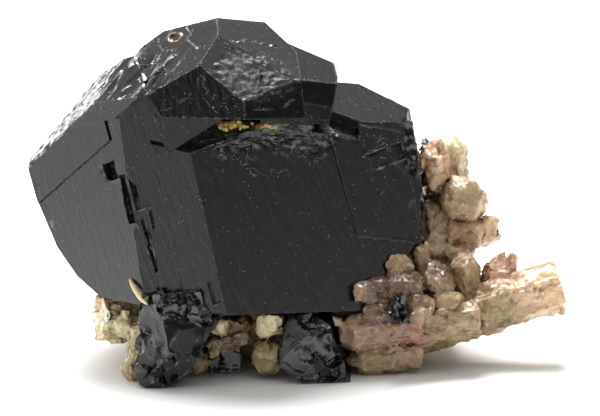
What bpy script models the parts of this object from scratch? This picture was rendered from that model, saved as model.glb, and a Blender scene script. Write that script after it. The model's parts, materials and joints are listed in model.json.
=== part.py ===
"""Uvite tourmaline specimen: black parallel-grown crystals on iron-stained quartz.

Blender 4.5 script in metres, +Z up. The specimen stands on z = 0 with its big crystal face to the front, -Y.
Every crystal is a blank that is cut by its flat faces, the way the faces bound the real crystal.
"""

import math
import random

import bmesh
import bpy
from mathutils import Matrix, Vector

MM = 0.001
SPECIMEN = "uvite_tourmaline"
# Moves the specimen so that the middle of its box's underside is the origin, in mm.
TO_ORIGIN = (0.2, 0.8, 0.0)
# Room left between two neighbouring minerals, in mm.
GAP = 0.3
# Edge of the cube from which a crystal is cut, in mm.
BLANK = 120.0
# A quartz tip face leans this much from the crystal's length, in degrees.
QUARTZ_TIP_LEAN = 51.8
# Every second tip face stands further out by this share of the crystal's width.
QUARTZ_TIP_STAGGER = 0.12
QUARTZ_SIDES = 6
FULL_TURN = 360.0

# Directions in which faces look, in degrees: azimuth (0 is the front, 90 the right) and elevation.
# The blocks of the main crystal grew parallel, so they share these.
LEFT_FACE = (-30.0, 4.5)
MIDDLE_FACE = (-7.5, 8.5)
FRONT_FACE = (20.0, 14.0)
WAVY_FACE = (-42.0, 48.0)
LENGTH_OF_CRYSTAL = (-100.0, 73.0)
BACK_FACE = (180.0, -12.0)
BACK_LEFT_FACE = (-135.0, -3.0)
BACK_RIGHT_FACE = (135.0, -3.0)

# Each block: a middle point in mm, then its faces as a direction and a distance from that point in mm.
LEFT_WING = ((-21.0, -1.0, 22.0), (
    (LEFT_FACE, 10.72),
    (MIDDLE_FACE, 12.96),
    (WAVY_FACE, 13.04),
    ((-77.0, 40.0), 9.18),
    ((-124.0, 33.0), 5.48),
    ((-172.5, 54.0), 6.70),
    ((-95.5, -18.0), 8.65),
    ((-97.0, -26.5), 8.38),
    ((-95.0, -39.5), 9.46),
    ((-93.0, -55.0), 11.03),
    ((175.0, -84.5), 11.66),
    ((92.0, 8.5), 7.41),
    ((180.0, 78.0), 10.97),
    (BACK_FACE, 16.12),
    (BACK_LEFT_FACE, 8.61),
))
TERRACE = ((-26.0, -2.0, 25.0), (
    (LEFT_FACE, 7.47),
    (WAVY_FACE, 8.07),
    ((-77.0, 40.0), 3.30),
    ((-124.0, 33.0), 0.80),
    ((-95.5, -18.0), 4.87),
    ((-97.0, -26.5), 5.33),
    ((93.0, 14.0), 4.40),
    (BACK_LEFT_FACE, 5.80),
    ((75.5, -49.0), 3.23),
))
UPPER_TERRACE = ((-22.0, -8.0, 32.0), (
    (LEFT_FACE, 3.83),
    (WAVY_FACE, 1.74),
    ((-77.0, 40.0), 0.75),
    ((98.0, 10.5), 4.03),
    ((63.0, -76.5), 3.27),
    ((81.0, -47.5), 3.21),
    ((-124.0, 33.0), 2.58),
    ((-172.5, 54.0), 2.56),
    (BACK_FACE, 6.05),
))
LOWER_BLOCK = ((-6.0, -1.0, 18.0), (
    (FRONT_FACE, 12.79),
    (MIDDLE_FACE, 15.94),
    ((4.5, 50.5), 14.85),
    ((180.0, 78.0), 8.52),
    ((-73.0, -9.0), 12.54),
    ((97.5, -6.5), 18.56),
    ((89.0, 10.0), 20.21),
    ((88.0, -37.0), 17.79),
    ((-123.5, -85.5), 9.18),
    (BACK_FACE, 16.29),
    (BACK_RIGHT_FACE, 18.40),
    (BACK_LEFT_FACE, 17.20),
    ((178.0, 36.0), 16.60),
))
REAR_BLOCK = ((0.0, 6.0, 24.0), (
    ((175.0, 66.0), 4.00),
    ((92.0, 5.0), 9.40),
    ((-95.0, -5.0), 14.00),
    ((0.0, -85.0), 8.00),
    ((0.0, 0.0), 3.00),
    ((176.0, -9.0), 9.60),
    (BACK_RIGHT_FACE, 12.60),
    (BACK_LEFT_FACE, 14.80),
))
UPPER_BLOCK = ((-8.0, -3.0, 34.0), (
    (WAVY_FACE, 8.83),
    ((31.5, 55.0), 8.31),
    ((7.5, 38.5), 10.29),
    ((-13.0, 17.1), 12.55),
    ((17.0, 18.0), 13.12),
    ((-3.5, -86.5), 4.64),
    ((-92.0, -35.0), 7.89),
    ((-116.0, 39.5), 6.89),
    ((-129.5, 44.5), 5.26),
    ((-172.0, 60.5), 2.30),
    ((-174.0, 60.5), 2.23),
    ((108.5, 41.0), 5.39),
    ((94.0, 5.0), 7.26),
))
UPPER_FOOT = ((-13.0, -9.0, 29.0), (
    ((-7.0, 9.5), 6.31),
    ((-97.5, -23.0), 1.95),
    ((92.5, -57.5), 1.42),
    ((90.0, 0.0), 4.71),
    ((180.0, 78.0), 2.30),
    (BACK_FACE, 7.40),
))
KNOB = ((3.0, -1.0, 30.0), (
    ((39.5, 55.5), 7.63),
    ((28.0, 18.6), 10.31),
    ((85.5, 23.5), 3.28),
    ((90.5, -11.5), 0.44),
    ((11.5, -40.5), 8.46),
    ((137.0, 58.0), 1.75),
    ((-90.0, 0.0), 7.45),
    ((0.0, -78.0), 6.21),
    ((180.0, -1.0), 14.46),
))
RIGHT_BLOCK = ((9.0, 2.0, 23.0), (
    (FRONT_FACE, 9.59),
    ((38.5, 59.0), 7.46),
    ((-173.5, 66.5), 6.74),
    ((130.0, 54.0), 4.78),
    ((77.5, 11.0), 5.28),
    ((95.5, 11.5), 4.40),
    ((97.0, 5.0), 4.17),
    ((-95.0, -16.5), 3.29),
    ((-116.5, -77.0), 6.38),
    ((180.0, -6.5), 13.72),
    (BACK_RIGHT_FACE, 8.32),
))
MAIN_BLOCKS = {
    "lower_block": LOWER_BLOCK,
    "left_wing": LEFT_WING,
    "terrace": TERRACE,
    "upper_terrace": UPPER_TERRACE,
    "upper_block": UPPER_BLOCK,
    "upper_foot": UPPER_FOOT,
    "knob": KNOB,
    "right_block": RIGHT_BLOCK,
    "rear_block": REAR_BLOCK,
}
SMALL_CRYSTALS = {
    "left_tourmaline": ((-13.0, -14.0, 5.0), (
        ((18.0, 16.0), 5.89),
        ((-34.0, 7.0), 6.59),
        ((6.5, -25.0), 6.47),
        ((-96.5, 2.0), 4.55),
        ((-88.5, -79.5), 5.74),
        ((-85.5, -48.0), 6.79),
        ((93.0, -55.0), 2.90),
        ((90.5, -27.0), 2.05),
        ((-138.0, 81.5), 5.44),
        (BACK_FACE, 5.30),
    )),
    "middle_tourmaline": ((2.0, -10.0, 4.0), (
        ((-24.0, 31.5), 6.96),
        ((8.5, 3.5), 7.08),
        ((38.0, 65.5), 4.14),
        ((88.0, 20.0), 2.31),
        ((-93.5, -51.0), 3.83),
        ((-96.5, 2.5), 3.29),
        ((180.0, 78.0), 3.28),
        (BACK_FACE, 7.18),
    )),
    "under_tourmaline": ((-9.0, -8.0, 1.0), (
        ((6.0, 6.0), 4.88),
        ((-97.5, 7.5), 1.33),
        ((95.5, -1.0), 1.79),
        ((180.0, 78.0), 1.28),
        (BACK_FACE, 4.60),
    )),
    "tiny_tourmaline": ((11.2, -14.8, 7.9), (
        ((20.0, 8.0), 0.95),
        ((80.0, 0.0), 0.95),
        ((140.0, 0.0), 0.95),
        ((-160.0, -8.0), 0.95),
        ((-100.0, 0.0), 0.95),
        ((-40.0, 0.0), 0.95),
        ((30.0, 74.0), 1.15),
        ((-150.0, -78.0), 1.15),
    )),
    "back_tourmaline": ((15.0, 7.0, 21.0), (
        ((20.0, 29.0), 2.43),
        ((113.5, 48.5), 1.68),
        ((97.5, 7.5), 1.66),
        ((77.0, -65.5), 2.51),
        ((-90.0, 0.0), 0.20),
        (BACK_FACE, 6.09),
    )),
}
# Pits and grooves of the main crystal: name, middle in mm, size across the face, along the crystal and
# into it in mm, and the face they are cut in.
PITS = (
    ("etched_hole", (-21.3, -13.1, 23.5), (1.6, 1.9, 3.0), LEFT_FACE),
    ("long_groove", (-19.4, -14.5, 20.6), (0.9, 5.6, 1.6), LEFT_FACE),
    ("right_recess", (9.7, -7.9, 24.2), (4.6, 1.9, 1.4), FRONT_FACE),
    ("ridge_slot", (-9.6, -18.1, 10.7), (1.0, 2.6, 2.4), MIDDLE_FACE),
)
# Steps and slanting grooves cut out of the main crystal, as blocks that are taken away.
CUT_BLOCKS = {
    "right_step": ((4.0, -8.0, 28.5), (
        ((-141.5, -59.0), 0.88),
        ((38.5, 59.0), 0.72),
        ((174.5, 23.4), 0.85),
        ((90.0, 0.0), 2.75),
        ((-90.0, 0.0), 2.55),
        ((0.0, 0.0), 6.00),
    )),
    "wedge_pit": ((-18.0, -14.8, 20.8), (
        ((90.0, 41.5), 0.58),
        ((62.0, -66.5), 1.25),
        ((-95.5, -14.0), 0.68),
        (MIDDLE_FACE, 2.00),
        ((172.5, -8.5), 1.31),
    )),
    "lower_groove": ((-16.8, -15.7, 15.5), (
        ((-109.5, 54.5), 2.91),
        ((85.0, 17.5), 0.21),
        ((76.5, -35.5), 2.40),
        ((-95.0, -17.0), 0.28),
        (MIDDLE_FACE, 2.00),
        ((172.5, -8.5), 1.05),
    )),
    "short_groove": ((-16.5, -15.3, 18.5), (
        ((-109.5, 54.5), 0.99),
        ((85.0, 15.0), 0.20),
        ((74.5, -43.5), 0.92),
        ((-95.5, -14.5), 0.25),
        (MIDDLE_FACE, 2.00),
        ((172.5, -8.5), 0.96),
    )),
}
# Quartz crystals with flat sides: name, foot and tip in mm, and width in mm.
QUARTZ_CRYSTALS = (
    ("pink_upper", (15.1, -1.4, 19.4), (16.2, -1.2, 25.2), 3.2),
    ("yellow_upper", (17.9, 2.6, 18.5), (18.0, 3.8, 24.9), 3.3),
    ("dark_core", (15.6, 1.6, 9.6), (15.1, 3.8, 20.0), 4.0),
    ("grey_facet", (18.7, -7.0, 7.6), (19.1, -6.8, 13.5), 3.7),
    ("red_right", (22.2, -6.2, 6.5), (23.7, -4.9, 12.6), 3.9),
    ("nub", (24.2, -6.4, 10.0), (24.4, -5.9, 12.8), 1.3),
    ("long_upper", (29.8, -6.8, 8.7), (9.8, -9.0, 3.2), 5.3),
    ("long_lower", (20.3, -11.4, 6.1), (3.5, -13.8, 4.4), 3.9),
    ("left_low", (13.7, -12.2, 2.5), (5.1, -13.4, 1.5), 3.4),
    ("thin_leaf", (14.6, -9.4, 10.0), (13.5, -8.5, 15.0), 1.8),
    ("crust_point", (10.0, -12.4, 8.5), (6.3, -13.5, 10.6), 2.3),
    ("bulk_point", (-6.2, -14.7, 4.8), (-10.6, -16.0, 3.9), 1.9),
    ("tooth", (-9.0, -15.4, 5.0), (-10.0, -16.8, 2.4), 1.2),
    ("left_block", (-22.9, -10.9, 5.9), (-14.0, -7.5, 5.1), 4.8),
    ("upper_strip", (-18.2, -14.2, 6.0), (-19.2, -15.6, 0.9), 1.6),
    ("lower_strip", (-19.6, -15.2, 2.0), (-18.2, -16.0, -0.9), 1.5),
    ("back_point_left", (-14.0, 12.0, 6.0), (-22.0, 18.0, 8.5), 4.4),
    ("back_point_middle", (-3.0, 13.0, 7.0), (-5.0, 19.5, 12.5), 4.8),
    ("back_point_right", (9.0, 12.0, 9.0), (12.5, 18.5, 14.0), 4.2),
    ("back_point_low", (3.0, 12.0, 4.0), (4.0, 19.0, 3.0), 3.8),
)
# Rounded quartz grains: name, middle in mm and radius in mm.
QUARTZ_GRAINS = (
    ("tan_lump", (18.7, -1.8, 17.7), 2.9),
    ("small_lump", (20.9, -1.9, 17.4), 1.3),
    ("red_mid", (18.8, -2.5, 14.2), 2.6),
    ("pale_lump", (21.6, -1.5, 14.2), 2.1),
    ("core_column", (15.7, 4.7, 14.6), 3.4),
    ("yellow_bit", (3.9, -13.2, 5.8), 1.2),
    ("crust_a", (8.9, -12.1, 9.9), 1.8),
    ("crust_b", (11.6, -11.2, 9.3), 2.6),
    ("crust_c", (15.5, -9.6, 9.9), 2.6),
    ("crust_d", (13.2, -12.7, 7.1), 2.5),
    ("crust_e", (16.6, -11.1, 7.8), 2.1),
    ("crust_f", (9.1, -12.7, 7.1), 2.0),
    ("crust_g", (18.0, -4.2, 11.0), 2.5),
    ("crust_h", (7.2, -13.0, 9.4), 1.2),
    ("crust_i", (7.7, -13.2, 6.6), 1.4),
    ("crust_j", (11.2, -10.7, 11.8), 1.6),
    ("low_lump", (8.2, -12.5, 1.4), 2.0),
    ("chip", (-9.2, -15.9, 6.4), 1.4),
    ("bulk", (-7.6, -13.6, 5.3), 2.4),
    ("yellow_round", (-3.5, -15.2, 6.6), 1.9),
    ("tan_round", (-3.6, -15.0, 2.6), 2.0),
    ("low_left_lump", (-12.2, -13.8, 1.7), 1.8),
    ("block_foot", (-21.4, -10.6, 4.0), 1.2),
    ("strip_root", (-19.4, -12.4, 5.6), 1.8),
    ("low_left_root", (-12.0, -11.0, 3.2), 2.6),
)
# The mass under and behind the crystals: middle and the three half sizes, in mm.
QUARTZ_CORE = (
    ("core_left", (-12.0, 0.0, 5.0), (9.0, 11.0, 7.0)),
    ("core_middle", (-2.0, 2.0, 5.0), (10.0, 14.0, 8.0)),
    ("core_right", (10.0, 1.0, 7.0), (8.5, 11.0, 8.5)),
    ("core_front", (4.0, -7.0, 5.0), (8.0, 6.0, 5.5)),
    ("core_front_left", (-8.0, -9.5, 6.4), (8.5, 4.8, 3.4)),
    ("core_column_foot", (15.5, -1.0, 11.0), (4.0, 5.5, 7.0)),
    ("core_back_left", (-13.0, 11.0, 6.5), (8.0, 5.5, 7.0)),
    ("core_back_middle", (-2.0, 13.5, 8.0), (7.5, 5.0, 8.0)),
    ("core_back_right", (9.0, 12.0, 9.5), (7.0, 5.5, 9.0)),
)
# Grains scattered over the unseen back of the mass: how many, and the arc that they stand on.
BACK_GRAINS = 16
BACK_ARC_MIDDLE = (-1.0, 2.0)
BACK_ARC_HALF_SIZES = (17.0, 14.0)
BACK_ARC_DEGREES = (5.0, 185.0)
BACK_GRAIN_HEIGHT = (1.5, 11.0)
BACK_GRAIN_RADIUS = (2.0, 3.3)
GRAIN_FACETS = 9
GRAIN_SEED = 11
# A grain's half sizes differ by up to this share of its radius.
GRAIN_UNEVEN = 0.14
# A grain is a ball of this many subdivisions, cut by facets at these shares of its radius.
GRAIN_SUBDIVISIONS = 2
GRAIN_FACET_DEPTH = (0.74, 0.88)
# Each back grain stands this far along its own share of the arc.
BACK_GRAIN_PLACE = (0.2, 0.8)

BLACK = (0.010, 0.010, 0.011, 1.0)
BLACK_ROUGHNESS = 0.12
QUARTZ_TAN = (0.42, 0.27, 0.19, 1.0)
QUARTZ_ROUGHNESS = 0.35


def clear_scene():
    for item in list(bpy.data.objects):
        bpy.data.objects.remove(item, do_unlink=True)


def new_collection(name, helper=False):
    group = bpy.data.collections.new(name)
    bpy.context.scene.collection.children.link(group)
    group.hide_render = helper
    return group


def new_material(name, colour, roughness):
    material = bpy.data.materials.new(name)
    material.use_nodes = True
    shader = material.node_tree.nodes["Principled BSDF"]
    shader.inputs["Base Color"].default_value = colour
    shader.inputs["Roughness"].default_value = roughness
    shader.inputs["Metallic"].default_value = 0.0
    material.diffuse_color = colour
    return material


def direction(azimuth, elevation):
    """The unit vector of a look direction: azimuth 0 is the front, 90 the right."""
    turn = math.radians(azimuth)
    rise = math.radians(elevation)
    level = math.cos(rise)
    return Vector((math.sin(turn) * level, -math.cos(turn) * level, math.sin(rise)))


def cut_face(mesh, point, normal):
    """Cuts away what lies in front of the plane and closes the cut with one flat face."""
    geometry = mesh.verts[:] + mesh.edges[:] + mesh.faces[:]
    cut = bmesh.ops.bisect_plane(mesh, geom=geometry, plane_co=point, plane_no=normal, clear_outer=True)
    rim = [item for item in cut["geom_cut"] if isinstance(item, bmesh.types.BMEdge)]
    if rim:
        bmesh.ops.holes_fill(mesh, edges=rim, sides=0)


def place(mesh, name, collection, material=None):
    """Makes the object of a mesh in mm, moved to the specimen's origin."""
    shift = Matrix.Translation(Vector(TO_ORIGIN) * MM) @ Matrix.Scale(MM, 4)
    bmesh.ops.transform(mesh, matrix=shift, verts=mesh.verts)
    bmesh.ops.recalc_face_normals(mesh, faces=mesh.faces)
    data = bpy.data.meshes.new(name)
    mesh.to_mesh(data)
    mesh.free()
    item = bpy.data.objects.new(name, data)
    collection.objects.link(item)
    if material is None:
        item.hide_render = True
        item.display_type = "WIRE"
    else:
        data.materials.append(material)
    return item


def faced_block(block, grow=0.0):
    """A crystal block bounded by its flat faces, each moved out by grow."""
    middle, faces = block
    mesh = bmesh.new()
    bmesh.ops.create_cube(mesh, size=BLANK)
    for look, distance in faces:
        normal = direction(*look)
        cut_face(mesh, normal * (distance + grow), normal)
    bmesh.ops.translate(mesh, vec=middle, verts=mesh.verts)
    return mesh


def pit_cutter(middle, size, look):
    """A box across a face, turned so that its long side follows the crystal's length."""
    mesh = bmesh.new()
    bmesh.ops.create_cube(mesh, size=1.0)
    bmesh.ops.scale(mesh, vec=size, verts=mesh.verts)
    out = direction(*look)
    along = direction(*LENGTH_OF_CRYSTAL)
    along = (along - out * along.dot(out)).normalized()
    across = along.cross(out)
    turn = Matrix((across, along, out)).transposed().to_4x4()
    bmesh.ops.transform(mesh, matrix=Matrix.Translation(middle) @ turn, verts=mesh.verts)
    return mesh


def quartz_crystal(foot, tip, width, spin):
    """A six-sided quartz crystal whose six tip faces come in three large and three small ones."""
    foot = Vector(foot)
    length = (Vector(tip) - foot).length
    mesh = bmesh.new()
    bmesh.ops.create_cube(mesh, size=BLANK)
    cut_face(mesh, Vector((0.0, 0.0, 0.0)), Vector((0.0, 0.0, -1.0)))
    lean = math.radians(QUARTZ_TIP_LEAN)
    for side in range(QUARTZ_SIDES):
        turn = math.radians(FULL_TURN / QUARTZ_SIDES * side + spin)
        out = Vector((math.cos(turn), math.sin(turn), 0.0))
        cut_face(mesh, out * (width / 2.0), out)
        slope = out * math.sin(lean) + Vector((0.0, 0.0, math.cos(lean)))
        back = QUARTZ_TIP_STAGGER * width * (side % 2)
        cut_face(mesh, Vector((0.0, 0.0, length + back)), slope)
    turn = (Vector(tip) - foot).to_track_quat("Z", "Y").to_matrix().to_4x4()
    bmesh.ops.transform(mesh, matrix=Matrix.Translation(foot) @ turn, verts=mesh.verts)
    return mesh


def grain(middle, half_sizes, dice):
    """A rounded quartz grain with a few flat facets at random places."""
    mesh = bmesh.new()
    bmesh.ops.create_icosphere(mesh, subdivisions=GRAIN_SUBDIVISIONS, radius=1.0)
    for _ in range(GRAIN_FACETS):
        normal = Vector((dice.gauss(0.0, 1.0), dice.gauss(0.0, 1.0), dice.gauss(0.0, 1.0))).normalized()
        cut_face(mesh, normal * dice.uniform(*GRAIN_FACET_DEPTH), normal)
    bmesh.ops.scale(mesh, vec=half_sizes, verts=mesh.verts)
    bmesh.ops.translate(mesh, vec=middle, verts=mesh.verts)
    return mesh


def back_grains(dice):
    """Middles and radii of the grains on the back of the mass, along an arc from the right to the left."""
    first, last = BACK_ARC_DEGREES
    for number in range(BACK_GRAINS):
        share = (number + dice.uniform(*BACK_GRAIN_PLACE)) / BACK_GRAINS
        turn = math.radians(first + (last - first) * share)
        across = BACK_ARC_MIDDLE[0] + BACK_ARC_HALF_SIZES[0] * math.cos(turn)
        deep = BACK_ARC_MIDDLE[1] + BACK_ARC_HALF_SIZES[1] * math.sin(turn)
        yield (across, deep, dice.uniform(*BACK_GRAIN_HEIGHT)), dice.uniform(*BACK_GRAIN_RADIUS)


def uneven(radius, dice):
    """Three half sizes near a radius."""
    return [radius * (1.0 + dice.uniform(-GRAIN_UNEVEN, GRAIN_UNEVEN)) for _ in range(3)]


def add_boolean(item, operation, operand):
    """Joins or cuts with one object, or with every object of a collection."""
    modifier = item.modifiers.new(operation.lower(), "BOOLEAN")
    modifier.operation = operation
    modifier.solver = "EXACT"
    if isinstance(operand, bpy.types.Collection):
        modifier.operand_type = "COLLECTION"
        modifier.collection = operand
    else:
        modifier.object = operand


def floor_cutter(helpers):
    """The block below z = 0, which cuts every rest flat."""
    mesh = bmesh.new()
    bmesh.ops.create_cube(mesh, size=BLANK)
    bmesh.ops.translate(mesh, vec=(0.0, 0.0, -BLANK / 2.0), verts=mesh.verts)
    return place(mesh, "floor_cutter", helpers)


def build_main_tourmaline(specimen, material):
    """The big crystal: its parallel blocks joined, then its pits and grooves cut."""
    joined = new_collection("main_blocks", helper=True)
    names = list(MAIN_BLOCKS)
    main = place(faced_block(MAIN_BLOCKS[names[0]]), "main_tourmaline", specimen, material)
    for name in names[1:]:
        place(faced_block(MAIN_BLOCKS[name]), name, joined)
    pits = new_collection("pits", helper=True)
    for name, middle, size, look in PITS:
        place(pit_cutter(middle, size, look), name, pits)
    for name, block in CUT_BLOCKS.items():
        place(faced_block(block), name, pits)
    add_boolean(main, "UNION", joined)
    add_boolean(main, "DIFFERENCE", pits)


def build_main_socket():
    """The room that the big crystal takes in its neighbours."""
    socket = new_collection("main_socket", helper=True)
    for name, block in MAIN_BLOCKS.items():
        place(faced_block(block, GAP), name + "_room", socket)
    return socket


def build_small_crystals(specimen, material, main_socket, floor):
    """The small black crystals and the room that they take in the quartz."""
    rooms = new_collection("small_sockets", helper=True)
    for name, block in SMALL_CRYSTALS.items():
        crystal = place(faced_block(block), name, specimen, material)
        add_boolean(crystal, "DIFFERENCE", main_socket)
        add_boolean(crystal, "DIFFERENCE", floor)
        place(faced_block(block, GAP), name + "_room", rooms)
    return rooms


def build_quartz(specimen, material, sockets, floor):
    """The quartz: core, grains and crystals joined in one mass, with a socket for each black crystal."""
    dice = random.Random(GRAIN_SEED)
    joined = new_collection("quartz_pieces", helper=True)
    first_name, middle, half_sizes = QUARTZ_CORE[0]
    quartz = place(grain(middle, half_sizes, dice), "quartz_matrix", specimen, material)
    for name, middle, half_sizes in QUARTZ_CORE[1:]:
        place(grain(middle, half_sizes, dice), name, joined)
    for name, middle, radius in QUARTZ_GRAINS:
        place(grain(middle, uneven(radius, dice), dice), name, joined)
    for middle, radius in back_grains(dice):
        place(grain(middle, uneven(radius, dice), dice), "back_grain", joined)
    for name, foot, tip, width in QUARTZ_CRYSTALS:
        place(quartz_crystal(foot, tip, width, dice.uniform(0.0, FULL_TURN / QUARTZ_SIDES)), name, joined)
    add_boolean(quartz, "UNION", joined)
    for socket in sockets:
        add_boolean(quartz, "DIFFERENCE", socket)
    add_boolean(quartz, "DIFFERENCE", floor)


def main():
    clear_scene()
    specimen = new_collection(SPECIMEN)
    helpers = new_collection("cutters", helper=True)
    black = new_material("black_tourmaline", BLACK, BLACK_ROUGHNESS)
    tan = new_material("stained_quartz", QUARTZ_TAN, QUARTZ_ROUGHNESS)
    floor = floor_cutter(helpers)
    build_main_tourmaline(specimen, black)
    main_socket = build_main_socket()
    rooms = build_small_crystals(specimen, black, main_socket, floor)
    build_quartz(specimen, tan, (main_socket, rooms), floor)


main()
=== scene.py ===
import json
import math
import random

import bmesh
import bpy
import numpy as np
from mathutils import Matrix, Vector, noise
from mathutils.bvhtree import BVHTree

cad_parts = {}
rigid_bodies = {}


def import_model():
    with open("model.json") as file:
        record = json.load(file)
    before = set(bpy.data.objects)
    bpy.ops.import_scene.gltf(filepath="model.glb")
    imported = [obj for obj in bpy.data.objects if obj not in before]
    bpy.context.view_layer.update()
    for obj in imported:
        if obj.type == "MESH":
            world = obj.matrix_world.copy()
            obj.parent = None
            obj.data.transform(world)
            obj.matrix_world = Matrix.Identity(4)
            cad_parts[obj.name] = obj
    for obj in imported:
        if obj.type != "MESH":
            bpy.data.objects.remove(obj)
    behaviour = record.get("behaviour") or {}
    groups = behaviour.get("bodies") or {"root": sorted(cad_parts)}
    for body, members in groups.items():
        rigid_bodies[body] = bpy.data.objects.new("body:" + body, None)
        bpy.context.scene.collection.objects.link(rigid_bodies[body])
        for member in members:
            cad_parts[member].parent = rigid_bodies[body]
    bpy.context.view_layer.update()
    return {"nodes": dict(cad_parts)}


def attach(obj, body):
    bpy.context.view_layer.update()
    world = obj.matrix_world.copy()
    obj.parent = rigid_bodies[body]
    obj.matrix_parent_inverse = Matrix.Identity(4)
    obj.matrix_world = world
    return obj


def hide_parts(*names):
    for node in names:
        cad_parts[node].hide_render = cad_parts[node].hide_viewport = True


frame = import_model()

for startup_object in [o for o in bpy.data.objects if o.name in ("Cube", "Light", "Camera")]:
    bpy.data.objects.remove(startup_object)

# The camera looks at the specimen's front from a hand's height above the table, through a long
# lens, as such specimens are photographed. Sizes are in metres.
MM = 0.001
CAMERA_TARGET = Vector((0.2, 0.8, 16.5)) * MM
CAMERA_HEIGHT_DEGREES = 12.0
CAMERA_DISTANCE = 350 * MM
CAMERA_LENS_MM = 179.5

raised = math.radians(CAMERA_HEIGHT_DEGREES)
bpy.ops.object.camera_add(
    location=CAMERA_TARGET + CAMERA_DISTANCE * Vector((0, -math.cos(raised), math.sin(raised))),
    rotation=(math.pi / 2 - raised, 0, 0),
)
camera = bpy.context.object
camera.name = "photo_camera"
camera.data.lens = CAMERA_LENS_MM
camera.data.sensor_width = 36.0
camera.data.clip_start = 0.01
camera.data.clip_end = 100
bpy.context.scene.camera = camera


# The studio: a wide pale table, a soft white sky that is brighter from the left, from above and
# from behind, and one large soft lamp above and behind, which leaves the front faces dark.
class Shade:
    """One value of a node tree. Python's operators on it add the Math nodes."""

    def __init__(self, mixer, socket):
        self.mixer = mixer
        self.socket = socket

    def __add__(self, other):
        return self.mixer.sum_up("ADD", self, other)

    def __sub__(self, other):
        return self.mixer.sum_up("SUBTRACT", self, other)

    def __rsub__(self, other):
        return self.mixer.sum_up("SUBTRACT", other, self)

    def __mul__(self, other):
        return self.mixer.sum_up("MULTIPLY", self, other)

    def __abs__(self):
        return self.mixer.put("ShaderNodeMath", {0: self}, operation="ABSOLUTE")

    __radd__ = __add__
    __rmul__ = __mul__


class Mixer:
    """Adds nodes to one material or sky, each from its type, its settings and its inputs."""

    def __init__(self, tree):
        self.tree = tree
        tree.nodes.clear()

    def put(self, kind, inputs=None, output=0, **settings):
        node = self.tree.nodes.new(kind)
        for name, value in settings.items():
            setattr(node, name, value)
        for name, value in (inputs or {}).items():
            same_name = (s for s in node.inputs if s.identifier == name)
            socket = next(same_name, None) or node.inputs[name]
            if isinstance(value, Shade):
                self.tree.links.new(value.socket, socket)
            else:
                socket.default_value = value
        if isinstance(output, str):
            return Shade(self, next(s for s in node.outputs if output in (s.identifier, s.name)))
        return Shade(self, node.outputs[output]) if node.outputs else None

    def sum_up(self, operation, first, second):
        return self.put("ShaderNodeMath", {0: first, 1: second}, operation=operation)

    def between(self, value, low, high):
        """0 where the value is low, 1 where it is high, and smooth between."""
        inputs = {"Value": value, "From Min": low, "From Max": high}
        return self.put("ShaderNodeMapRange", inputs, interpolation_type="SMOOTHSTEP")

    def blend(self, amount, first, second):
        """The first colour where the amount is 0 and the second where it is 1."""
        return self.put(
            "ShaderNodeMix",
            {"Factor_Float": amount, "A_Color": first, "B_Color": second},
            output="Result_Color",
            data_type="RGBA",
        )

    def part_along(self, vector, direction):
        return self.put(
            "ShaderNodeVectorMath", {0: vector, 1: direction}, output="Value", operation="DOT_PRODUCT"
        )

    def stretched(self, vector, scale):
        return self.put("ShaderNodeVectorMath", {0: vector, 1: scale}, operation="MULTIPLY")

    def mottle(self, vector, scale, detail=2.0, roughness=0.5, distortion=0.0):
        inputs = {
            "Vector": vector, "Scale": scale, "Detail": detail,
            "Roughness": roughness, "Distortion": distortion,
        }
        return self.put("ShaderNodeTexNoise", inputs)

    def cells(self, vector, scale, output="Distance"):
        return self.put("ShaderNodeTexVoronoi", {"Vector": vector, "Scale": scale}, output)

    def stored(self, name):
        """A value that the mesh carries at each point."""
        return self.put("ShaderNodeAttribute", output="Fac", attribute_name=name)

    def place_in_mm(self):
        """Where each point is on its piece, in millimetres."""
        return self.stretched(self.put("ShaderNodeTexCoord", output="Object"), (1 / MM, 1 / MM, 1 / MM))

    def end_in(self, inputs):
        """Ends the material in one Principled surface with these inputs."""
        surface = self.put("ShaderNodeBsdfPrincipled", inputs)
        self.put("ShaderNodeOutputMaterial", {"Surface": surface})


def new_material(name):
    """A new material, and the mixer that fills its node tree."""
    material = bpy.data.materials.new(name)
    material.use_nodes = True
    return material, Mixer(material.node_tree)


TABLE_HALF_WIDTH = 6.0
TABLE_WHITE = (0.80, 0.80, 0.79, 1)
TABLE_FLECK = (0.82, 0.82, 0.81, 1)
# Far from the specimen the table glows, so that it meets the sky with no visible line.
GLOW_STARTS = 0.30
GLOW_FULL = 1.00
FAR_GLOW = (0.95, 0.95, 0.95, 1)
SKY_WHITE = (1.0, 1.0, 1.0, 1)
SKY_TINT = (1.0, 0.997, 0.985, 1)
SKY_DARKEST = 0.07
SKY_HORIZON = 0.80
SKY_LEFT = 0.85
SKY_OVERHEAD = 0.92
SKY_GLARE = 3.2
GLARE_WAY = (-0.451, 0.874, 0.180)
# Each part of the sky fades in between two values of the direction's share along its axis.
HORIZON_FADE = (0.42, 0.02)
LEFT_FADE = (0.35, 0.90)
OVERHEAD_FADE = (0.55, 0.85)
GLARE_FADE = (0.80, 0.97)
LAMP_PLACE = Vector((-60, 235, 525)) * MM
LAMP_SIDE = 0.35
LAMP_WATTS = 8.5

bpy.ops.mesh.primitive_plane_add(size=2 * TABLE_HALF_WIDTH, location=(0, 0, 0))
table = bpy.context.object
table.name = "table"
table_paint, paint = new_material("table_paint")
spot = paint.put("ShaderNodeTexCoord", output="Object")
paper = paint.blend(paint.mottle(spot, 60.0), TABLE_WHITE, TABLE_FLECK)
distance = paint.put("ShaderNodeVectorMath", {0: spot}, output="Value", operation="LENGTH")
far_glow = paint.blend(paint.between(distance, GLOW_STARTS, GLOW_FULL), (0, 0, 0, 1), FAR_GLOW)
paint.end_in(
    {"Base Color": paper, "Roughness": 0.75, "Emission Color": far_glow, "Emission Strength": 1.0}
)
table.data.materials.append(table_paint)

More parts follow.
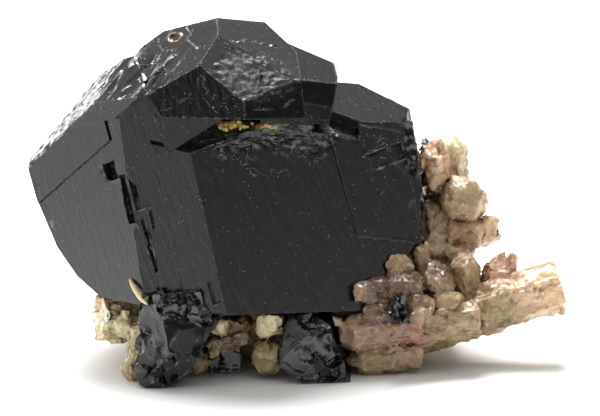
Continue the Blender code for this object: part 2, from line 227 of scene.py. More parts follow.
sky = bpy.data.worlds.new("studio_sky")
bpy.context.scene.world = sky
sky.use_nodes = True
light = Mixer(sky.node_tree)
toward = light.put("ShaderNodeTexCoord", output="Generated")
height = light.part_along(toward, (0, 0, 1))
horizon = light.between(height, *HORIZON_FADE)
leftward = light.between(light.part_along(toward, (-1, 0, 0)), *LEFT_FADE)
overhead = light.between(height, *OVERHEAD_FADE)
glare = light.between(light.part_along(toward, GLARE_WAY), *GLARE_FADE)
strength = SKY_DARKEST + SKY_HORIZON * horizon + SKY_LEFT * leftward + SKY_OVERHEAD * overhead
strength = strength + SKY_GLARE * glare
glow = light.put("ShaderNodeBackground", {"Color": SKY_TINT, "Strength": strength})
plain = light.put("ShaderNodeBackground", {"Color": SKY_WHITE, "Strength": 1.0})
seen = light.put("ShaderNodeLightPath", output="Is Camera Ray")
mixed = light.put("ShaderNodeMixShader", {0: seen, 1: glow, 2: plain})
light.put("ShaderNodeOutputWorld", {"Surface": mixed})

bpy.ops.object.light_add(type="AREA", location=LAMP_PLACE)
lamp = bpy.context.object
lamp.name = "soft_lamp"
lamp.data.shape = "DISK"
lamp.data.size = LAMP_SIDE
lamp.data.energy = LAMP_WATTS
lamp.rotation_euler = (CAMERA_TARGET - LAMP_PLACE).to_track_quat("-Z", "Y").to_euler()
bpy.context.scene.view_settings.view_transform = "Standard"


# The main tourmaline is one large black crystal, cut off by its own flat faces, glossy and finely
# striated along its length. It is a finer copy of the frame's solid, with its growth ridges,
# etched ledges and pits raised and sunk in the mesh.
CRYSTAL_LENGTH = Vector((-0.288, 0.051, 0.956)).normalized()
CRYSTAL_SIDE = CRYSTAL_LENGTH.cross(Vector((0, 1, 0))).normalized()
CRYSTAL_DEPTH = CRYSTAL_LENGTH.cross(CRYSTAL_SIDE).normalized()
CRYSTAL_AXES = np.array((CRYSTAL_SIDE, CRYSTAL_DEPTH, CRYSTAL_LENGTH)).T
RIDGE_RUN = Vector((-0.542, -0.510, -0.668)).normalized()
RIDGE_OUT = Vector((-0.448, -0.497, 0.743)).normalized()
RIDGE_ACROSS = RIDGE_RUN.cross(RIDGE_OUT).normalized()
RIDGE_AXES = np.array((RIDGE_ACROSS, RIDGE_OUT, RIDGE_RUN)).T
# Ways that faces look: azimuth and elevation in degrees, and how many degrees off still count.
WAVY_WAY = (-42, 48, 36)
SLIVER_WAY = (-77, 40, 16)
RIGHT_WAY = (80, 15, 45)
TONGUE_WAY = (7.5, 38.5, 26)
# Places on the crystal: middle and reach in mm, and how much of the reach is soft.
RIDGED_PLACE = ((-17.6, -11.2, 33.9), (6.6, 6.0, 3.9), 0.6)
TONGUE_PLACE = ((-4.7, -14.3, 34.8), (6.2, 4.8, 4.2), 0.45)
LEDGE_PLACE = ((-7.5, -11.6, 27.8), (9.0, 3.4, 2.2), 0.5)
POCKET_PLACE = ((0.9, -9.0, 27.0), (4.2, 3.4, 2.2), 0.5)
HOLE_PLACE = ((-21.2, -11.6, 23.4), (1.7, 1.7, 1.7), 0.6)
CHIPPED_PLACE = ((13.2, -4.8, 25.2), (1.8, 3.0, 5.0), 0.4)
UNEVEN_PLACES = (
    ((-20.6, -12.0, 20.0), (3.0, 3.5, 7.0), 0.5),
    ((-18.0, -14.0, 14.0), (4.0, 3.5, 5.0), 0.5),
    ((9.0, -8.0, 24.0), (5.0, 4.0, 3.5), 0.5),
)
GOLD_PLACE = ((-7.6, -11.6, 28.9), (2.4, 2.2, 0.9), 0.7)
FAINT_GOLD_PLACE = ((-3.4, -10.8, 28.4), (2.6, 1.5, 0.6), 0.8)
VEINED_PLACES = (
    ((-3.0, -12.0, 25.0), (11.0, 5.0, 3.2), 0.6),
    ((-8.0, -14.5, 31.5), (4.5, 3.0, 3.0), 0.6),
)
FAINT_VEINS_PLACE = ((9.5, -7.5, 24.0), (5.0, 4.0, 4.0), 0.6)
OVAL_MIDDLE = (-13.9, -8.4, 38.1)
OVAL_HALF_SIZE = (1.15, 1.2, 0.85)
# Heights of the relief in mm, and how often each pattern repeats per mm along its three axes.
RIDGE_HEIGHT = 0.50
RIDGE_STRETCH = (1.15, 0.8, 0.24)
WAVE_HEIGHT = 0.06
WAVE_STRETCH = (0.9, 0.5, 0.15)
SLIVER_HEIGHT = 0.20
SLIVER_STRETCH = (1.3, 1.3, 0.10)
RIGHT_HEIGHT = 0.26
RIGHT_STRETCH = (1.2, 1.2, 0.10)
ETCHED_HEIGHT = 0.34
OVAL_RIM_HEIGHT = 0.10
OVAL_DEPTH = 0.22
# The share of the relief that the pitted tongue and the folds lose.
TONGUE_CALM = 0.55
FOLD_CALM = 0.15
WELD = 1e-6
LEAST_MASK = 0.001
NOISE_SEED = 11
CUT_ROUNDS = 6
FOLD_ANGLE = math.radians(14)
FOLD_LONGEST = 0.42
MAIN_LONGEST = 1.15
# Places with fine relief: middle and reach in mm, and the longest edge there in mm.
MAIN_FINE = (
    ((-17.5, -10.8, 34.5), (8.0, 7.0, 5.0), 0.34),
    ((-13.9, -8.4, 38.1), (2.2, 2.2, 1.8), 0.16),
    ((-4.8, -14.0, 34.8), (6.0, 5.0, 4.2), 0.36),
    ((-7.0, -11.8, 27.6), (9.5, 3.6, 2.6), 0.36),
    ((1.0, -9.2, 27.0), (4.6, 3.6, 2.6), 0.34),
    ((13.4, -2.5, 22.5), (1.8, 6.5, 6.5), 0.45),
    ((-26.0, -5.5, 28.0), (5.5, 5.5, 5.5), 0.45),
)


def select_only(piece):
    bpy.ops.object.select_all(action="DESELECT")
    piece.select_set(True)
    bpy.context.view_layer.objects.active = piece


def enter_edit(piece):
    select_only(piece)
    bpy.ops.object.mode_set(mode="EDIT")
    bpy.ops.mesh.select_all(action="SELECT")


def node_copy(node_name, piece_name):
    """A copy of a frame node as one closed mesh on its own object."""
    source = frame["nodes"][node_name]
    piece = source.copy()
    piece.data = source.data.copy()
    for key in list(piece.keys()):
        del piece[key]
    piece.parent = None
    piece.name = piece_name
    piece.data.materials.clear()
    bpy.context.scene.collection.objects.link(piece)
    enter_edit(piece)
    bpy.ops.mesh.remove_doubles(threshold=WELD)
    bpy.ops.object.mode_set(mode="OBJECT")
    return piece


def cut_long_edges(piece, longest, fine_places=(), fold_longest=None):
    """Halves every edge that is too long for its place, or for a fold that it meets."""
    enter_edit(piece)
    bpy.ops.mesh.select_mode(type="EDGE")
    for _ in range(CUT_ROUNDS):
        bpy.ops.mesh.select_all(action="DESELECT")
        mesh = bmesh.from_edit_mesh(piece.data)
        ends = np.array([edge.verts[0].co[:] + edge.verts[1].co[:] for edge in mesh.edges]) / MM
        middles = (ends[:, :3] + ends[:, 3:]) / 2
        allowed = np.full(len(ends), longest)
        for middle, reach, finer in fine_places:
            inside = (((middles - middle) / reach) ** 2).sum(axis=1) < 1
            allowed[inside] = np.minimum(allowed[inside], finer)
        if fold_longest:
            folds = {v for e in mesh.edges if e.calc_face_angle(0) > FOLD_ANGLE for v in e.verts}
            beside = np.array([e.verts[0] in folds or e.verts[1] in folds for e in mesh.edges])
            allowed[beside] = np.minimum(allowed[beside], fold_longest)
        too_long = np.linalg.norm(ends[:, :3] - ends[:, 3:], axis=1) > allowed
        if not too_long.any():
            break
        for edge, chosen in zip(mesh.edges, too_long):
            edge.select = bool(chosen)
        mesh.select_flush_mode()
        bmesh.update_edit_mesh(piece.data)
        bpy.ops.mesh.subdivide(number_cuts=1)
        bpy.ops.mesh.select_all(action="SELECT")
        bpy.ops.mesh.quads_convert_to_tris(quad_method="SHORTEST_DIAGONAL", ngon_method="BEAUTY")
    bpy.ops.mesh.select_mode(type="VERT")
    bpy.ops.object.mode_set(mode="OBJECT")


def places_of(piece):
    """The piece's points and outward directions, in millimetres."""
    mesh = piece.data
    places = np.empty(len(mesh.vertices) * 3)
    mesh.vertices.foreach_get("co", places)
    outward = np.empty(len(mesh.vertices) * 3)
    mesh.vertices.foreach_get("normal", outward)
    return places.reshape(-1, 3) / MM, outward.reshape(-1, 3)


def move_to(piece, places):
    piece.data.vertices.foreach_set("co", (places * MM).ravel())
    piece.data.update()


def store(piece, name, values):
    layer = piece.data.attributes.new(name, "FLOAT", "POINT")
    layer.data.foreach_set("value", np.asarray(values, dtype=np.float32))


def smooth_step(values, low, high):
    share = np.clip((values - low) / (high - low), 0, 1)
    return share * share * (3 - 2 * share)


def facing(outward, azimuth, elevation, within):
    """1 where the surface faces this way, 0 where it is more than so many degrees off."""
    turn, rise = math.radians(azimuth), math.radians(elevation)
    way = (math.sin(turn) * math.cos(rise), -math.cos(turn) * math.cos(rise), math.sin(rise))
    off = np.degrees(np.arccos(np.clip(outward @ np.array(way), -1, 1)))
    return 1 - smooth_step(off, within * 0.6, within)


def near(places, centre, reach, soft=0.5):
    """1 inside this ball or ellipsoid, 0 outside it, soft over part of its reach."""
    away = np.linalg.norm((places - np.array(centre)) / np.array(reach), axis=1)
    return 1 - smooth_step(away, 1 - soft, 1)


def wanted_points(places, where):
    """The numbers of the points where the mask counts, or of all points with no mask."""
    return range(len(places)) if where is None else np.nonzero(where > LEAST_MASK)[0]


def ripple(places, stretch, seed, octaves=3, where=None):
    """Fractal noise at each place, after the place is scaled by stretch, per mm."""
    found = np.zeros(len(places))
    stretch = np.array(stretch)
    shift = np.array((seed * 7.3, seed * 3.1, seed * 5.7))
    for i in wanted_points(places, where):
        found[i] = noise.fractal(Vector(places[i] * stretch + shift), 0.9, 2.1, octaves)
    return found


def broken_facets(places, per_mm, seed, slope, where=None):
    """Heights in mm of small flat facets, each tilted its own way, as on a broken crystal."""
    found = np.zeros(len(places))
    shift = Vector((seed * 5.1, seed * 2.3, seed * 3.9))
    for i in wanted_points(places, where):
        place = Vector(places[i] * per_mm) + shift
        centre = noise.voronoi(place)[1][0]
        tilt = noise.cell_vector(centre) * 2 - Vector((1, 1, 1))
        found[i] = slope * (tilt.dot(place - centre) + 0.35 * tilt.x) / per_mm
    return found


def wobble(places, outward, per_mm, seed, amount):
    """Moves in mm along the surface that make straight edges uneven, as large as amount says."""
    shift = Vector((seed * 4.7, seed * 6.1, seed * 1.9))
    moves = np.array([noise.noise_vector(Vector(p * per_mm) + shift) for p in places])
    moves -= outward * (moves * outward).sum(axis=1)[:, None]
    return moves * amount[:, None]


def on_folds(piece):
    """1 at the points of edges where the surface folds sharply."""
    sharp = np.zeros(len(piece.data.vertices))
    mesh = bmesh.new()
    mesh.from_mesh(piece.data)
    for edge in mesh.edges:
        if edge.calc_face_angle(0) > FOLD_ANGLE:
            for end in edge.verts:
                sharp[end.index] = 1
    mesh.free()
    return sharp


noise.seed_set(NOISE_SEED)
main = node_copy("main_tourmaline", "main_crystal")
cut_long_edges(main, MAIN_LONGEST, MAIN_FINE, FOLD_LONGEST)
places, outward = places_of(main)
edge_line = on_folds(main)
flat = 1 - FOLD_CALM * edge_line
axial = places @ CRYSTAL_AXES
along_ridges = places @ RIDGE_AXES

wavy_face = facing(outward, *WAVY_WAY)
sliver_face = facing(outward, *SLIVER_WAY)
right_end = facing(outward, *RIGHT_WAY) * smooth_step(places[:, 0], 9.0, 12.0)
back_side = smooth_step(outward[:, 1], 0.1, 0.6)
wavy_part = wavy_face * near(places, *RIDGED_PLACE)
pitted = near(places, *TONGUE_PLACE) * facing(outward, *TONGUE_WAY)
ledge = near(places, *LEDGE_PLACE) * (1 - wavy_face)
pocket = near(places, *POCKET_PLACE)
hole_rim = near(places, *HOLE_PLACE)
back_noise = ripple(places, 0.16, seed=41, octaves=2, where=back_side)
back_patches = back_side * smooth_step(back_noise, 0.0, 0.25)
etched = np.clip(pitted + ledge + pocket + 0.6 * hole_rim + 0.8 * back_patches, 0, 1)
roughened = etched * (1 - TONGUE_CALM * pitted) * flat

ridges = ripple(along_ridges, RIDGE_STRETCH, seed=3, octaves=2, where=wavy_part)
waves = ripple(along_ridges, WAVE_STRETCH, seed=4, octaves=2, where=wavy_face)
grains = ripple(places, 1.5, seed=5, octaves=5, where=etched)
sliver_lines = ripple(axial, SLIVER_STRETCH, seed=9, where=sliver_face)
right_lines = ripple(axial, RIGHT_STRETCH, seed=12, where=right_end)
lift = RIDGE_HEIGHT * wavy_part * flat * (ridges - 0.1)
lift += WAVE_HEIGHT * wavy_face * flat * waves
lift += ETCHED_HEIGHT * roughened * (grains - 0.25)
lift += SLIVER_HEIGHT * sliver_face * flat * sliver_lines
lift += RIGHT_HEIGHT * right_end * flat * right_lines
lift += 0.6 * roughened * broken_facets(places, 1.1, seed=6, slope=0.22, where=etched)

from_oval = (places - np.array(OVAL_MIDDLE)) @ RIDGE_AXES
oval_reach = np.linalg.norm(from_oval / OVAL_HALF_SIZE, axis=1)
oval_floor = 1 - smooth_step(oval_reach, 0.45, 0.85)
oval_rim = np.exp(-(((oval_reach - 0.78) / 0.14) ** 2))
rim_noise = ripple(places, 0.8, seed=44, octaves=2, where=wavy_face)
oval_rim *= 0.35 + 0.65 * smooth_step(rim_noise, -0.25, 0.15)
lift += wavy_face * (OVAL_RIM_HEIGHT * oval_rim - OVAL_DEPTH * oval_floor)

chipped_end = near(places, *CHIPPED_PLACE)
lift += 0.9 * chipped_end * broken_facets(places, 0.9, seed=7, slope=0.35, where=chipped_end)
pits = np.max([near(places, *place) for place in UNEVEN_PLACES], axis=0)
uneven = wobble(places, outward, 0.8, seed=14, amount=0.04 + 0.36 * pits + 0.12 * etched)
move_to(main, places + outward * lift[:, None] + uneven)
store(main, "etched", etched)
# The fold points, which the black material greys in patches, as chipped edges and as a painted edge
# highlight.
store(main, "edge", edge_line)
store(main, "dull", pitted)
gold_spots = near(places, *GOLD_PLACE) + 0.9 * oval_rim * wavy_face
gold_spots += 0.6 * near(places, *FAINT_GOLD_PLACE)
store(main, "gold", np.clip(gold_spots, 0, 1))
veined = sum(near(places, *place) for place in VEINED_PLACES)
veined += 0.8 * near(places, *FAINT_VEINS_PLACE)
store(main, "veined", np.clip(veined, 0, 1))

BLACK = (0.0026, 0.0027, 0.0027, 1)
BLACK_WORN = (0.0062, 0.0066, 0.0062, 1)
# Grey of the etched spots; along the sharp edges it is also a painted edge highlight.
ETCHED_AND_EDGE_HIGHLIGHT_GREY = (0.024, 0.025, 0.022, 1)
DUST = (0.42, 0.43, 0.41, 1)
IRON_GOLD = (0.46, 0.27, 0.045, 1)
TOURMALINE_IOR = 1.63

black_stone, black = new_material("black_stone")
spot = black.place_in_mm()
across = black.part_along(spot, CRYSTAL_SIDE)
inward = black.part_along(spot, CRYSTAL_DEPTH)
upright = black.part_along(spot, CRYSTAL_LENGTH)
grained = black.put("ShaderNodeCombineXYZ", {"X": across, "Y": inward, "Z": upright * 0.05})
striae = black.mottle(grained, 2.2, 3.0, 0.55)
waviness = black.mottle(grained, 0.30, 2.0, 0.45)
cloud = black.mottle(spot, 0.9, 4.0, 0.6)
grit = black.mottle(spot, 5.0, 3.0, 0.65)
dust_place = black.mottle(spot, 1.6, 2.0, 0.6)
dust = black.between(black.cells(spot, 2.6), 0.13, 0.07) * black.between(dust_place, 0.50, 0.60)
etched_part = black.stored("etched")
edge_part = black.stored("edge")
dull_part = black.stored("dull")
# Lighter grey in patches along the sharp edges: partly chipped edges, and partly a painted highlight for
# the light that catches the edges.
edge_chips_and_highlight = black.between(edge_part * black.between(grit, 0.42, 0.62), 0.25, 0.65)
gold_part = black.between(black.stored("gold") * black.between(grit, 0.25, 0.55), 0.12, 0.45)
coat = black.blend(black.between(cloud, 0.35, 0.75), BLACK, BLACK_WORN)
etched_spots = etched_part * (1 - 0.6 * dull_part) * black.between(grit, 0.35, 0.65)
coat = black.blend(etched_spots, coat, ETCHED_AND_EDGE_HIGHLIGHT_GREY)
coat = black.blend(edge_chips_and_highlight * 0.7, coat, ETCHED_AND_EDGE_HIGHLIGHT_GREY)
vein_noise = black.mottle(spot, 0.42, 3.0, 0.5)
vein_line = 1 - black.between(abs(vein_noise - 0.5), 0.0015, 0.006)
vein_place = black.between(black.stored("veined"), 0.25, 0.7) * black.between(grit, 0.40, 0.55)
coat = black.blend(vein_line * vein_place * 0.6, coat, DUST)
coat = black.blend(dust, coat, DUST)
coat = black.blend(gold_part, coat, IRON_GOLD)
rough = 0.07 + 0.06 * cloud + (0.18 + 0.20 * dull_part) * etched_part
rough = rough + 0.10 * edge_chips_and_highlight + 0.35 * dust + 0.35 * gold_part
low_relief = black.put("ShaderNodeBump", {"Height": waviness, "Strength": 0.04, "Distance": 0.30 * MM})
striae_relief = black.put(
    "ShaderNodeBump",
    {"Height": striae, "Strength": 0.75, "Distance": 0.07 * MM, "Normal": low_relief},
)
grit_relief = black.put(
    "ShaderNodeBump",
    {
        "Height": grit * (0.12 + etched_part + 0.5 * edge_chips_and_highlight),
        "Strength": 0.6,
        "Distance": 0.10 * MM,
        "Normal": striae_relief,
    },
)
black.end_in({"Base Color": coat, "Roughness": rough, "IOR": TOURMALINE_IOR, "Normal": grit_relief})
main.data.materials.append(black_stone)


def finish_piece(piece, node_name, sharp_degrees):
    """Shades the piece, hides the frame node that it stands for, and says what it rides on."""
    select_only(piece)
    bpy.ops.object.shade_smooth_by_angle(angle=math.radians(sharp_degrees))
    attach(piece, "root")
    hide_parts(node_name)


finish_piece(main, "main_tourmaline", 13)


# The small tourmalines stand under the big crystal and beside it, black and glossy too, with
# broken, sparkling edges. Each is a finer copy of its own solid, chipped into small facets.
SMALL_LONGEST = 0.33
CHIPS_PER_MM = 0.66
CHIP_SLOPE = 0.50
FACES_PER_MM = 0.4
FACE_SLOPE = 0.06
WORN_OFF = 0.06
EDGE_WOBBLE = 0.34
SMALL_CRYSTALS = (
    ("left_tourmaline", "left_crystal"),
    ("middle_tourmaline", "middle_crystal"),
    ("under_tourmaline", "under_crystal"),
    ("tiny_tourmaline", "tiny_crystal"),
    ("back_tourmaline", "back_crystal"),
)
for node_name, piece_name in SMALL_CRYSTALS:
    small = node_copy(node_name, piece_name)
    cut_long_edges(small, SMALL_LONGEST)
    places, outward = places_of(small)
    edge_line = on_folds(small)
    chipped = smooth_step(ripple(places, 0.30, seed=21, octaves=2), -0.15, 0.20)
    standing = smooth_step(places[:, 2], 0.05, 0.6)
    lift = chipped * broken_facets(places, CHIPS_PER_MM, seed=24, slope=CHIP_SLOPE)
    lift += broken_facets(places, FACES_PER_MM, seed=25, slope=FACE_SLOPE) - WORN_OFF
    uneven = wobble(places, outward, 0.5, seed=26, amount=EDGE_WOBBLE * standing)
    places = places + outward * (standing * lift)[:, None] + uneven
    places[:, 2] = np.maximum(places[:, 2], 0)
    move_to(small, places)
    store(small, "etched", 0.06 * chipped)
    store(small, "edge", edge_line)
    store(small, "dull", np.zeros(len(places)))
    store(small, "gold", np.zeros(len(places)))
    store(small, "veined", 0.4 * chipped)
    small.data.materials.append(black_stone)
    finish_piece(small, node_name, 11)


# Ochre crumbs of iron oxide lie in the cleft between the upper block and the etched ledge. Each is
# a dull little lump, grown on the black crystal, and they are joined as one piece.
CRUMB_GOLD = (0.50, 0.30, 0.06, 1)
CRUMB_PALE = (0.62, 0.50, 0.24, 1)
CRUMB_SEED = 5
CRUMBS = 26
CRUMB_LINE = ((-9.3, -11.4, 28.35), (-5.4, -11.0, 29.0))
CRUMB_CLUSTER = (0.45, 0.22)
CRUMB_SPREAD = (0.12, 0.35, 0.14)
CRUMB_RADII = (0.12, 0.34)
CRUMB_STRETCH = (0.6, 1.3)
CRUMB_LUMPS = 0.35
crumb_paint, ochre = new_material("ochre_crumb")
spot = ochre.place_in_mm()
speckle = ochre.mottle(spot, 4.0, 3.0, 0.6)
crumb_relief = ochre.put("ShaderNodeBump", {"Height": speckle, "Strength": 0.6, "Distance": 0.08 * MM})
ochre.end_in(
    {
        "Base Color": ochre.blend(ochre.between(speckle, 0.4, 0.7), CRUMB_GOLD, CRUMB_PALE),
        "Roughness": 0.55 - 0.2 * speckle,
        "Normal": crumb_relief,
    }
)

dice = random.Random(CRUMB_SEED)
skin = BVHTree.FromObject(main, bpy.context.evaluated_depsgraph_get())
crumb_parts = []
for number in range(CRUMBS):
    share = dice.gauss(*CRUMB_CLUSTER)
    middle = Vector(CRUMB_LINE[0]).lerp(Vector(CRUMB_LINE[1]), share)
    middle += Vector([dice.gauss(0, spread) for spread in CRUMB_SPREAD])
    seat = skin.find_nearest(middle * MM)[0]
    size = dice.uniform(*CRUMB_RADII) * MM
    bpy.ops.mesh.primitive_ico_sphere_add(subdivisions=2, radius=size, location=seat)
    crumb = bpy.context.object
    crumb.rotation_euler = [dice.uniform(0, math.tau) for _ in range(3)]
    crumb.scale = [dice.uniform(*CRUMB_STRETCH) for _ in range(3)]
    for vertex in crumb.data.vertices:
        lump = noise.noise(vertex.co / size * 1.4 + Vector((number, 0, 0)))
        vertex.co *= 1 + CRUMB_LUMPS * lump
    crumb_parts.append(crumb)
bpy.ops.object.select_all(action="DESELECT")
for crumb in crumb_parts:
    crumb.select_set(True)
bpy.context.view_layer.objects.active = crumb_parts[0]
bpy.ops.object.join()
crumbs = bpy.context.object
crumbs.name = "ochre_crumbs"
bpy.ops.object.transform_apply(location=True, rotation=True, scale=True)
crumbs.data.materials.append(crumb_paint)
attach(crumbs, "root")


# One thin, curved blade of pale yellow quartz clings where the left tourmaline meets the big one.
# It tapers to both ends and lies on the black faces.
BLADE_ENDS = ((-18.95, -14.95, 11.75), (-16.75, -17.95, 9.45))
BLADE_HALF_SIZE = (0.34, 0.24)
BLADE_SAG = 0.35
BLADE_ROUGH = 0.05
BLADE_YELLOW = (0.72, 0.55, 0.22, 1)
BLADE_PALE = (0.80, 0.68, 0.42, 1)
QUARTZ_IOR = 1.545
blade_paint, pale = new_material("pale_blade")
spot = pale.place_in_mm()
speckle = pale.mottle(spot, 3.0, 3.0, 0.6)
blade_relief = pale.put("ShaderNodeBump", {"Height": speckle, "Strength": 0.4, "Distance": 0.08 * MM})
pale.end_in(
    {
        "Base Color": pale.blend(speckle, BLADE_YELLOW, BLADE_PALE),
        "Roughness": 0.25 + 0.15 * speckle,
        "IOR": QUARTZ_IOR,
        "Normal": blade_relief,
    }
)
blade_start, blade_end = Vector(BLADE_ENDS[0]) * MM, Vector(BLADE_ENDS[1]) * MM
blade_run = blade_end - blade_start
bpy.ops.object.select_all(action="DESELECT")
bpy.ops.mesh.primitive_ico_sphere_add(
    subdivisions=5,
    radius=1.0,
    location=(blade_start + blade_end) / 2,
    rotation=blade_run.to_track_quat("X", "Z").to_euler(),
    scale=(blade_run.length / 2, BLADE_HALF_SIZE[0] * MM, BLADE_HALF_SIZE[1] * MM),
)
blade = bpy.context.object
blade.name = "pale_blade"
bpy.ops.object.transform_apply(location=True, rotation=True, scale=True)
for vertex in blade.data.vertices:
    along = (vertex.co - blade_start).dot(blade_run) / blade_run.length_squared * 2 - 1
    vertex.co.z -= BLADE_SAG * MM * (1 - along * along)
    vertex.co += BLADE_ROUGH * MM * noise.noise_vector(vertex.co / MM * 1.8)
bpy.ops.object.shade_smooth()
blade.data.materials.append(blade_paint)
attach(blade, "root")


# The quartz bed is a crust of blunt, cloudy quartz crystals grown round the tourmaline, pale tan
# and rose, stained yellow to red brown by iron in its hollows. It is one piece, as it grew.
QUARTZ_LONGEST = 0.60
CREAM = (0.86, 0.68, 0.40)
PALE_ROSE = (0.80, 0.53, 0.33)
ROSE = (0.60, 0.37, 0.24)
TAN = (0.36, 0.26, 0.13)
OLIVE = (0.34, 0.27, 0.11)
LILAC = (0.34, 0.19, 0.13)
DARK_LILAC = (0.075, 0.030, 0.015)
BROWN = (0.060, 0.030, 0.015)
RUST = (0.27, 0.115, 0.045)
# The crystals of the bed that differ in colour: middle and reach in mm, colour. At the core under the big
# crystal's right end, two of them are dark brown and partly painted shade, for the shadow the crystal
# casts there.
QUARTZ_TINTS = (
    ((15.9, -1.6, 22.6), 2.6, PALE_ROSE),
    ((18.5, 3.2, 22.5), 3.0, CREAM),
    ((18.7, -1.8, 17.7), 3.2, TAN),
    ((21.0, -2.0, 17.4), 1.5, CREAM),
    # Dark brown, and partly painted shade: the core here lies in the big crystal's shadow, and these two
    # spots paint it darker.
    ((15.0, 3.0, 17.0), 3.0, BROWN),
    ((15.2, 0.5, 13.5), 3.0, BROWN),
    ((18.8, -2.8, 14.2), 2.2, RUST),
    ((21.8, -2.2, 14.4), 2.2, PALE_ROSE),
    ((19.2, -7.2, 11.0), 2.4, TAN),
    ((23.4, -5.6, 10.5), 2.8, ROSE),
    ((16.2, -9.2, 11.5), 2.6, DARK_LILAC),
    ((9.5, -12.4, 10.2), 2.6, DARK_LILAC),
    ((12.6, -11.6, 9.5), 2.8, DARK_LILAC),
    ((15.6, -10.6, 8.6), 2.0, TAN),
    ((9.0, -13.0, 7.4), 2.4, DARK_LILAC),
    ((7.0, -14.0, 5.1), 3.4, LILAC),
    ((12.0, -13.4, 5.2), 3.2, LILAC),
    ((17.0, -12.0, 6.5), 3.2, TAN),
    ((22.0, -9.6, 7.4), 3.0, OLIVE),
    ((28.0, -8.0, 9.0), 3.6, PALE_ROSE),
    ((8.5, -13.0, 1.8), 3.2, TAN),
    ((3.9, -13.2, 5.8), 1.5, CREAM),
    ((-20.6, -11.0, 6.0), 4.2, CREAM),
    ((-18.9, -15.0, 3.0), 2.4, CREAM),
    ((-3.5, -15.4, 6.8), 1.9, CREAM),
    ((-3.6, -15.4, 2.8), 2.1, OLIVE),
    ((-7.8, -14.0, 5.2), 2.8, BROWN),
    ((-9.2, -16.0, 6.4), 1.3, CREAM),
    ((-9.8, -16.2, 3.4), 1.6, OLIVE),
    ((-12.2, -14.2, 1.8), 1.9, TAN),
)
QUARTZ_GROUND = np.array(TAN)
GROUND_WEIGHT = 0.4
TINT_WEIGHT = 3
TINT_FADE = 0.62
TINT_GAIN = 1.36
TINT_BRIGHTEST = 0.92
GOLDEN_TURN = math.tau * 0.381966
RAY_START = 0.08
OPEN_RAYS = 10
OPEN_FAR = 3.5


def openness(places, outward, skins, rays, far):
    """How open each point is: the share of rays from it that meet nothing within far mm."""
    turns = [GOLDEN_TURN * k for k in range(rays)]
    rises = [math.sqrt((k + 0.5) / rays) for k in range(rays)]
    found = np.zeros(len(places))
    for i, (place, way) in enumerate(zip(places, outward)):
        way = Vector(way)
        side = way.orthogonal().normalized()
        other = way.cross(side)
        start = Vector(place) * MM + way * RAY_START * MM
        free = 0
        for turn, level in zip(turns, rises):
            up = math.sqrt(1 - level * level)
            ray = way * up + (side * math.cos(turn) + other * math.sin(turn)) * level
            if all(skin.ray_cast(start, ray, far * MM)[0] is None for skin in skins):
                free += 1
        found[i] = free / rays
    return found


quartz = node_copy("quartz_matrix", "quartz_bed")
cut_long_edges(quartz, QUARTZ_LONGEST)
worn = quartz.modifiers.new("worn_edges", "SMOOTH")
worn.factor = 0.5
worn.iterations = 1
bpy.context.view_layer.objects.active = quartz
bpy.ops.object.modifier_apply(modifier=worn.name)
places, outward = places_of(quartz)
standing = smooth_step(places[:, 2], 0.02, 0.5)
lift = 0.22 * ripple(places, 0.50, seed=31) + 0.10 * ripple(places, 1.5, seed=33)
lift += broken_facets(places, 0.42, seed=34, slope=0.18)
lift += broken_facets(places, 1.1, seed=35, slope=0.24)
uneven = wobble(places, outward, 0.45, seed=36, amount=0.45 * standing)
places = places + outward * (standing * lift)[:, None] + uneven
places[:, 2] = np.maximum(places[:, 2], 0)
move_to(quartz, places)
places, outward = places_of(quartz)
graph = bpy.context.evaluated_depsgraph_get()
skins = [BVHTree.FromObject(quartz, graph), skin]
# How open each point is; from it the material paints rust stains and painted shade into the closed
# hollows.
store(quartz, "open", openness(places, outward, skins, OPEN_RAYS, OPEN_FAR))

tint = np.tile(QUARTZ_GROUND * GROUND_WEIGHT, (len(places), 1))
weight = np.full(len(places), GROUND_WEIGHT)
for middle, reach, colour in QUARTZ_TINTS:
    away = np.linalg.norm(places - np.array(middle), axis=1) / (reach * TINT_FADE)
    share = TINT_WEIGHT * np.exp(-(away ** 2))
    tint += share[:, None] * np.array(colour)
    weight += share
tint = np.minimum(TINT_GAIN * tint / weight[:, None], TINT_BRIGHTEST)
opaque = np.ones((len(places), 1))
layer = quartz.data.attributes.new("tint", "FLOAT_COLOR", "POINT")
layer.data.foreach_set("color", np.hstack((tint, opaque)).astype(np.float32).ravel())

# The darkest colour, for the deepest hollows, is painted shade; the others are stains and veils.
HOLLOW_SHADE_DARK = (0.050, 0.026, 0.012, 1)
STAIN_RUST = (0.34, 0.13, 0.035, 1)
STAIN_YELLOW = (0.60, 0.38, 0.10, 1)
STAIN_LILAC = (0.44, 0.20, 0.15, 1)
VEIL_WHITE = (0.80, 0.72, 0.60, 1)
FACETS_PER_MM = 2.4

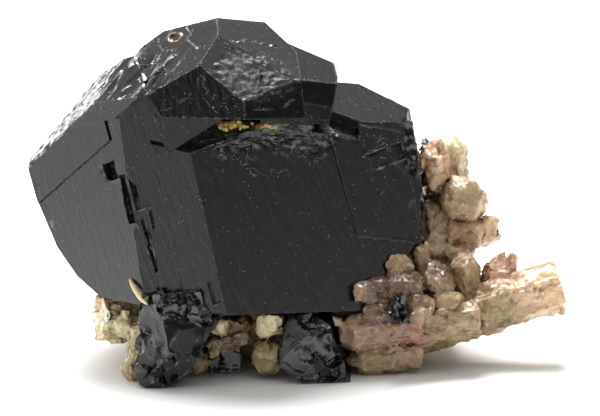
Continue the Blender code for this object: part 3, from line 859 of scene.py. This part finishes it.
cloudy_quartz, clear = new_material("cloudy_quartz")
spot = clear.place_in_mm()
tinted = clear.put("ShaderNodeAttribute", output="Color", attribute_name="tint")
hollow = 1 - clear.stored("open")
veils = clear.mottle(spot, 0.9, 5.0, 0.65, 0.6)
flecks = clear.mottle(spot, 1.7, 5.0, 0.75)
grit = clear.mottle(spot, 4.5, 4.0, 0.7)
body_colour = clear.blend(clear.between(veils, 0.52, 0.72) * 0.5, tinted, VEIL_WHITE)
body_colour = clear.blend(clear.between(flecks, 0.54, 0.68) * 0.6, body_colour, STAIN_RUST)
rightward = clear.between(clear.part_along(spot, (1, 0, 0)), 1.0, 8.0)
lilac_part = clear.between(clear.mottle(spot, 0.35, 3.0, 0.6), 0.48, 0.66) * rightward
body_colour = clear.blend(lilac_part * 0.35, body_colour, STAIN_LILAC)
body_colour = clear.blend(clear.between(veils, 0.46, 0.30) * 0.5, body_colour, STAIN_YELLOW)
rust_part = clear.between(hollow + 0.5 * (flecks - 0.5), 0.30, 0.70)
body_colour = clear.blend(rust_part * 0.7, body_colour, STAIN_RUST)
# Painted shade: nearly black where the surface is most closed in, in the deepest hollows and between
# crystals, where shade falls.
painted_hollow_shade = clear.between(hollow + 0.7 * (veils - 0.5), 0.55, 0.92)
body_colour = clear.blend(painted_hollow_shade, body_colour, HOLLOW_SHADE_DARK)
cell_middle = clear.cells(spot, FACETS_PER_MM, output="Position")
cell_tilt = clear.cells(spot, FACETS_PER_MM, output="Color")
from_middle = clear.put("ShaderNodeVectorMath", {0: spot, 1: cell_middle}, operation="SUBTRACT")
tilt = clear.put("ShaderNodeVectorMath", {0: cell_tilt, 1: (0.5, 0.5, 0.5)}, operation="SUBTRACT")
facet_height = clear.part_along(from_middle, tilt)
facet_relief = clear.put("ShaderNodeBump", {"Height": facet_height, "Strength": 1.0, "Distance": 1.2 * MM})
relief = clear.put(
    "ShaderNodeBump",
    {"Height": grit + 0.6 * veils, "Strength": 0.6, "Distance": 0.20 * MM, "Normal": facet_relief},
)
clear.end_in(
    {
        "Base Color": body_colour,
        "Roughness": 0.10 + 0.22 * grit,
        "IOR": QUARTZ_IOR,
        "Subsurface Weight": 0.5,
        "Subsurface Radius": (1.0, 0.55, 0.30),
        "Subsurface Scale": 1.2 * MM,
        "Transmission Weight": 0.22,
        "Coat Weight": 0.5,
        "Coat Roughness": 0.08,
        "Normal": relief,
    }
)
quartz.data.materials.append(cloudy_quartz)
finish_piece(quartz, "quartz_matrix", 22)
